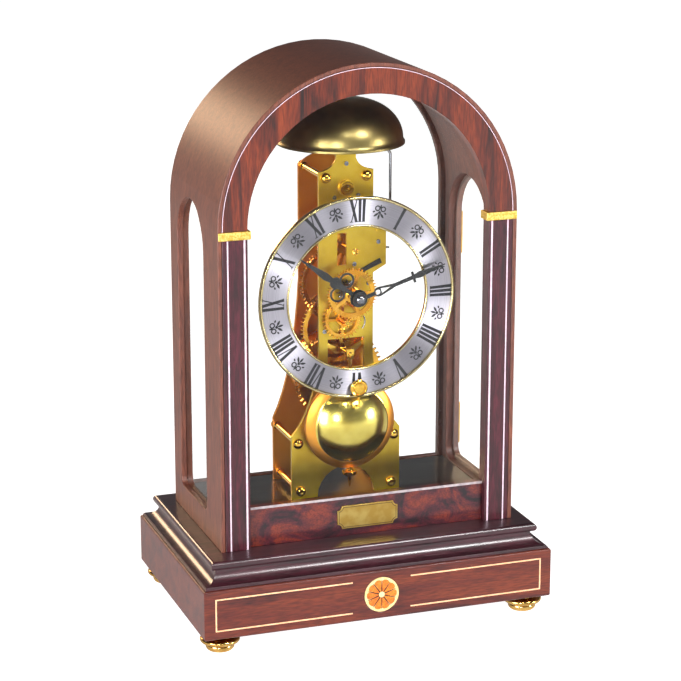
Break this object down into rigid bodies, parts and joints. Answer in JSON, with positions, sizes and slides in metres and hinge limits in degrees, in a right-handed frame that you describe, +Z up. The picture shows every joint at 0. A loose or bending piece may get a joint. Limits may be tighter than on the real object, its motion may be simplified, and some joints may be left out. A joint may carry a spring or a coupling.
{
  "type": "mantel clock",
  "caption": "Arch-top wooden mantel clock with glazed sides, open brass movement, front pendulum, bell and rear door.",
  "frame": {"origin": "centre of the bounding box at the surface the clock stands on", "axes": "+X to the right seen from the front, +Y to the rear (the dial faces -Y), +Z up"},
  "size_m": [0.245, 0.16, 0.38],
  "materials": {
    "mahogany": "satin lacquered reddish veneer",
    "inlay": "satin lacquered inlay",
    "dark_lacquer": "gloss dark purple-brown lacquer",
    "walnut": "satin lacquered walnut",
    "rosewood": "gloss figured veneer",
    "burl": "gloss burl veneer",
    "dark_board": "matte stained board",
    "clear_glass": "polished clear glass",
    "gilt": "satin gilt",
    "brass": "polished lacquered brass",
    "silvered": "satin silvered",
    "black_hand": "satin black",
    "steel": "polished steel"
  },
  "bodies": {
    "case": {"base_box": "mahogany", "medallion": "inlay", "foot_front_left": "brass", "foot_front_right": "brass", "foot_rear_left": "brass", "foot_rear_right": "brass", "cove_moulding": "dark_lacquer", "base_plate": "dark_lacquer", "case_shell": "walnut", "front_arch": "rosewood", "front_rail": "burl", "front_glass": "clear_glass", "nameplate": "gilt", "case_floor": "dark_board", "pilaster_left": "dark_lacquer", "capital_left": "gilt", "side_glass_left": "clear_glass", "pilaster_right": "dark_lacquer", "capital_right": "gilt", "side_glass_right": "clear_glass", "hinge_upper_case_leaf": "brass", "hinge_lower_case_leaf": "brass", "front_plate": "brass", "back_plate": "brass", "pillar_upper_left": "brass", "pillar_upper_right": "brass", "pillar_shoulder_left": "brass", "pillar_shoulder_right": "brass", "pillar_foot_left": "brass", "pillar_foot_right": "brass", "dial_ring": "silvered", "dial_post_upper": "brass", "dial_post_lower_left": "brass", "dial_post_lower_right": "brass", "bell": "brass", "bell_post": "brass"},
    "rear_door": {"rear_door_frame": "walnut", "rear_door_glass": "clear_glass", "rear_door_knob": "brass", "hinge_upper_door_leaf": "brass", "hinge_lower_door_leaf": "brass"},
    "pendulum": {"anchor_and_crutch": "brass", "pendulum_rod": "brass", "bob": "brass", "rosette": "brass"},
    "adjuster": {"rating_nut": "brass"},
    "strike": {"hammer": "steel"},
    "barrel": {"barrel": "brass"},
    "winding": {"winding_arbor": "steel"},
    "click": {"click": "steel"},
    "second": {"second_wheel": "brass"},
    "centre": {"centre_wheel": "brass", "hand_nut": "brass"},
    "third": {"third_wheel": "brass"},
    "escape": {"escape_wheel": "brass"},
    "minute": {"cannon_pinion": "steel", "minute_hand": "black_hand"},
    "motion": {"minute_wheel": "brass"},
    "hour": {"hour_wheel": "brass", "hour_hand": "black_hand"}
  },
  "joints": [
    {"name": "rear_door_hinge", "type": "hinge", "parent": "case", "child": "rear_door", "pos_m": [0.1045, 0.0575, 0.17], "axis": [0, 0, -1], "range_deg": [0, 110]},
    {"name": "pendulum_swing", "type": "hinge", "parent": "case", "child": "pendulum", "pos_m": [0, -0.01, 0.29], "axis": [0, 1, 0], "range_deg": [-3.5, 3.5]},
    {"name": "rating_nut_turn", "type": "hinge", "parent": "pendulum", "child": "adjuster", "pos_m": [0, -0.0165, 0.095], "axis": [0, 0, 1], "continuous": true},
    {"name": "hammer_lift", "type": "hinge", "parent": "case", "child": "strike", "pos_m": [0.0235, -0.002, 0.2595], "axis": [0, -1, 0], "range_deg": [0, 12], "stiffness_Nm_per_rad": 0.003, "springref_deg": -17.19},
    {"name": "escape_turn", "type": "hinge", "parent": "case", "child": "escape", "pos_m": [0, 0, 0.2677], "axis": [0, 1, 0], "continuous": true},
    {"name": "third_turn", "type": "hinge", "parent": "case", "child": "third", "pos_m": [0.00671, 0, 0.24603], "axis": [0, 1, 0], "continuous": true},
    {"name": "centre_turn", "type": "hinge", "parent": "case", "child": "centre", "pos_m": [0, 0, 0.2205], "axis": [0, 1, 0], "continuous": true},
    {"name": "second_turn", "type": "hinge", "parent": "case", "child": "second", "pos_m": [-0.00335, 0, 0.19254], "axis": [0, 1, 0], "continuous": true},
    {"name": "barrel_turn", "type": "hinge", "parent": "case", "child": "barrel", "pos_m": [0, 0, 0.1575], "axis": [0, 1, 0], "continuous": true},
    {"name": "winding_turn", "type": "hinge", "parent": "case", "child": "winding", "pos_m": [0, 0, 0.1575], "axis": [0, 1, 0], "continuous": true},
    {"name": "click_lift", "type": "hinge", "parent": "case", "child": "click", "pos_m": [0.00872, 0.04, 0.16995], "axis": [0, -1, 0], "range_deg": [0, 10], "stiffness_Nm_per_rad": 0.001, "springref_deg": -17.19},
    {"name": "minute_turn", "type": "hinge", "parent": "case", "child": "minute", "pos_m": [0, -0.03, 0.2205], "axis": [0, 1, 0], "continuous": true},
    {"name": "motion_turn", "type": "hinge", "parent": "case", "child": "motion", "pos_m": [-0.00344, -0.015, 0.201], "axis": [0, 1, 0], "continuous": true},
    {"name": "hour_turn", "type": "hinge", "parent": "case", "child": "hour", "pos_m": [0, -0.03, 0.2205], "axis": [0, 1, 0], "continuous": true}
  ],
  "couplings": [
    {"joint": "third_turn", "follows": "escape_turn", "ratio": -0.08},
    {"joint": "centre_turn", "follows": "escape_turn", "ratio": 0.008},
    {"joint": "second_turn", "follows": "escape_turn", "ratio": -0.0011429},
    {"joint": "barrel_turn", "follows": "escape_turn", "ratio": 0.00016327},
    {"joint": "motion_turn", "follows": "minute_turn", "ratio": -0.5},
    {"joint": "hour_turn", "follows": "minute_turn", "ratio": 0.083333}
  ]
}
